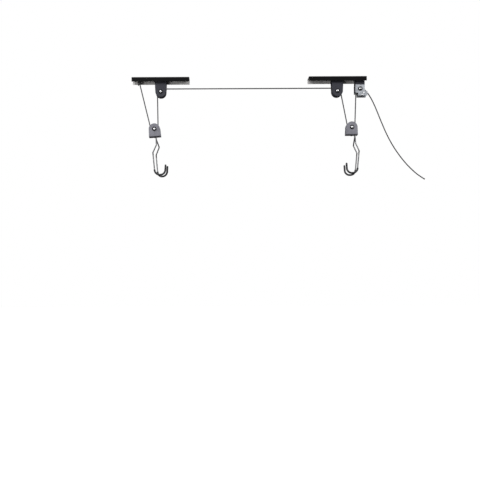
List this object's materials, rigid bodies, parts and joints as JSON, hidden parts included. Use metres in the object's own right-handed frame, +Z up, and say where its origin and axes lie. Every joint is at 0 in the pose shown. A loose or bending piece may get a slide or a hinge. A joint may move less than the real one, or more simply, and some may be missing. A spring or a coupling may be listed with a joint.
{
  "type": "bicycle ceiling hoist",
  "caption": "Ceiling hoist for a bicycle: two screwed channels with pulley yokes, a rope with a rope lock, and two hook blocks with sleeved wire hooks.",
  "frame": {"origin": "centre of the front channel's ceiling face", "axes": "+X from the front channel to the rear channel, +Z up into the ceiling, +Y across the channels, away from the viewer"},
  "size_m": [1.169, 0.0621, 0.4093],
  "materials": {
    "channel_paint": "black satin powder coat",
    "yoke_paint": "dark grey satin paint on pressed steel",
    "block_paint": "mid grey satin paint on pressed steel",
    "lock_zinc": "bright zinc plating",
    "rivet_steel": "plated domed rivet heads",
    "roller_steel": "plain steel",
    "washer_black": "blackened steel",
    "keeper_black": "blackened steel",
    "nylon": "moulded black nylon",
    "rope": "braided polyester, charcoal",
    "hook_wire": "zinc plated bent wire",
    "hook_sleeve": "black vinyl dip"
  },
  "bodies": {
    "root": {"front_channel": "channel_paint", "front_yoke": "yoke_paint", "front_yoke_rivets": "channel_paint", "front_axle_rivet": "rivet_steel", "front_axle_washers": "washer_black", "front_tie_pin": "channel_paint", "rope_tie_knot": "rope", "rope_tie_fall": "rope", "rope_front_fall": "rope", "rope_span": "rope", "rope_rear_fall": "rope", "rope_lock_fall": "rope", "rope_lock_wrap": "rope", "rope_tail": "rope", "rear_channel": "channel_paint", "rear_yoke": "yoke_paint", "rear_yoke_rivets": "channel_paint", "rear_axle_rivet": "rivet_steel", "rear_axle_washers": "washer_black", "lock_yoke": "yoke_paint", "lock_yoke_rivets": "channel_paint", "lock_plate_near": "lock_zinc", "lock_plate_far": "lock_zinc", "lock_axle_rivet": "rivet_steel", "lock_axle_washers": "washer_black", "lock_exit_pin": "rivet_steel"},
    "front_sheave": {"front_sheave": "nylon"},
    "rear_sheave": {"rear_sheave": "nylon"},
    "lock_sheave": {"lock_sheave": "nylon"},
    "lock_exit_roller": {"lock_exit_roller": "roller_steel"},
    "lock_wedge": {"lock_wedge_roller": "roller_steel", "lock_wedge_pin": "rivet_steel"},
    "front_block": {"front_block_housing": "block_paint", "front_block_keeper_plate": "keeper_black", "front_block_keeper_rivet": "keeper_black", "front_block_axle_rivet": "rivet_steel", "front_block_axle_washers": "washer_black", "front_block_rope_wrap": "rope"},
    "front_block_sheave": {"front_block_sheave": "nylon"},
    "front_block_near_hook": {"front_block_near_hook": "hook_wire", "front_block_near_hook_sleeve": "hook_sleeve"},
    "front_block_far_hook": {"front_block_far_hook": "hook_wire", "front_block_far_hook_sleeve": "hook_sleeve"},
    "rear_block": {"rear_block_housing": "block_paint", "rear_block_keeper_plate": "keeper_black", "rear_block_keeper_rivet": "keeper_black", "rear_block_axle_rivet": "rivet_steel", "rear_block_axle_washers": "washer_black", "rear_block_rope_wrap": "rope"},
    "rear_block_sheave": {"rear_block_sheave": "nylon"},
    "rear_block_near_hook": {"rear_block_near_hook": "hook_wire", "rear_block_near_hook_sleeve": "hook_sleeve"},
    "rear_block_far_hook": {"rear_block_far_hook": "hook_wire", "rear_block_far_hook_sleeve": "hook_sleeve"}
  },
  "joints": [
    {"name": "front_block_lift", "type": "slide", "parent": "root", "child": "front_block", "axis": [0, 0, 1], "range_m": [-0.1, 0.07], "deforming": ["rope_tie_fall", "rope_front_fall"]},
    {"name": "rear_block_lift", "type": "slide", "parent": "root", "child": "rear_block", "axis": [0, 0, 1], "range_m": [-0.1, 0.07], "deforming": ["rope_rear_fall", "rope_lock_fall"]},
    {"name": "front_sheave_spin", "type": "hinge", "parent": "root", "child": "front_sheave", "pos_m": [0, 0, -0.056], "axis": [0, 1, 0], "continuous": true},
    {"name": "rear_sheave_spin", "type": "hinge", "parent": "root", "child": "rear_sheave", "pos_m": [0.704, 0, -0.056], "axis": [0, 1, 0], "continuous": true},
    {"name": "front_block_sheave_spin", "type": "hinge", "parent": "front_block", "child": "front_block_sheave", "pos_m": [-0.026, 0, -0.2045], "axis": [0, 1, 0], "continuous": true},
    {"name": "rear_block_sheave_spin", "type": "hinge", "parent": "rear_block", "child": "rear_block_sheave", "pos_m": [0.7608, 0, -0.2005], "axis": [0, 1, 0], "continuous": true},
    {"name": "lock_sheave_spin", "type": "hinge", "parent": "root", "child": "lock_sheave", "pos_m": [0.794, 0, -0.0485], "axis": [0, 1, 0], "continuous": true},
    {"name": "lock_exit_roller_spin", "type": "hinge", "parent": "root", "child": "lock_exit_roller", "pos_m": [0.8195, 0, -0.0635], "axis": [0, 1, 0], "continuous": true},
    {"name": "lock_wedge_slide", "type": "slide", "parent": "root", "child": "lock_wedge", "axis": [0.5882, 0, 0.8087], "range_m": [0, 0.0122]},
    {"name": "front_block_near_hook_swivel", "type": "hinge", "parent": "front_block", "child": "front_block_near_hook", "pos_m": [-0.01968, -0.005, -0.22756], "axis": [0, 0, 1], "range_deg": [-60, 12]},
    {"name": "front_block_far_hook_swivel", "type": "hinge", "parent": "front_block", "child": "front_block_far_hook", "pos_m": [-0.01968, 0.005, -0.22756], "axis": [0, 0, 1], "range_deg": [-5, 60]},
    {"name": "rear_block_near_hook_swivel", "type": "hinge", "parent": "rear_block", "child": "rear_block_near_hook", "pos_m": [0.7748, -0.005, -0.22395], "axis": [0, 0, 1], "range_deg": [-15, 60]},
    {"name": "rear_block_far_hook_swivel", "type": "hinge", "parent": "rear_block", "child": "rear_block_far_hook", "pos_m": [0.7748, 0.005, -0.22395], "axis": [0, 0, 1], "range_deg": [-53, 22]}
  ],
  "couplings": [
    {"joint": "rear_block_lift", "follows": "front_block_lift", "ratio": 1},
    {"joint": "front_sheave_spin", "follows": "front_block_lift", "rad_per_m": 142.86},
    {"joint": "rear_sheave_spin", "follows": "front_block_lift", "rad_per_m": 142.86},
    {"joint": "front_block_sheave_spin", "follows": "front_block_lift", "rad_per_m": -71.429},
    {"joint": "rear_block_sheave_spin", "follows": "front_block_lift", "rad_per_m": -214.29},
    {"joint": "lock_sheave_spin", "follows": "front_block_lift", "rad_per_m": 285.71},
    {"joint": "lock_exit_roller_spin", "follows": "front_block_lift", "rad_per_m": 640}
  ]
}
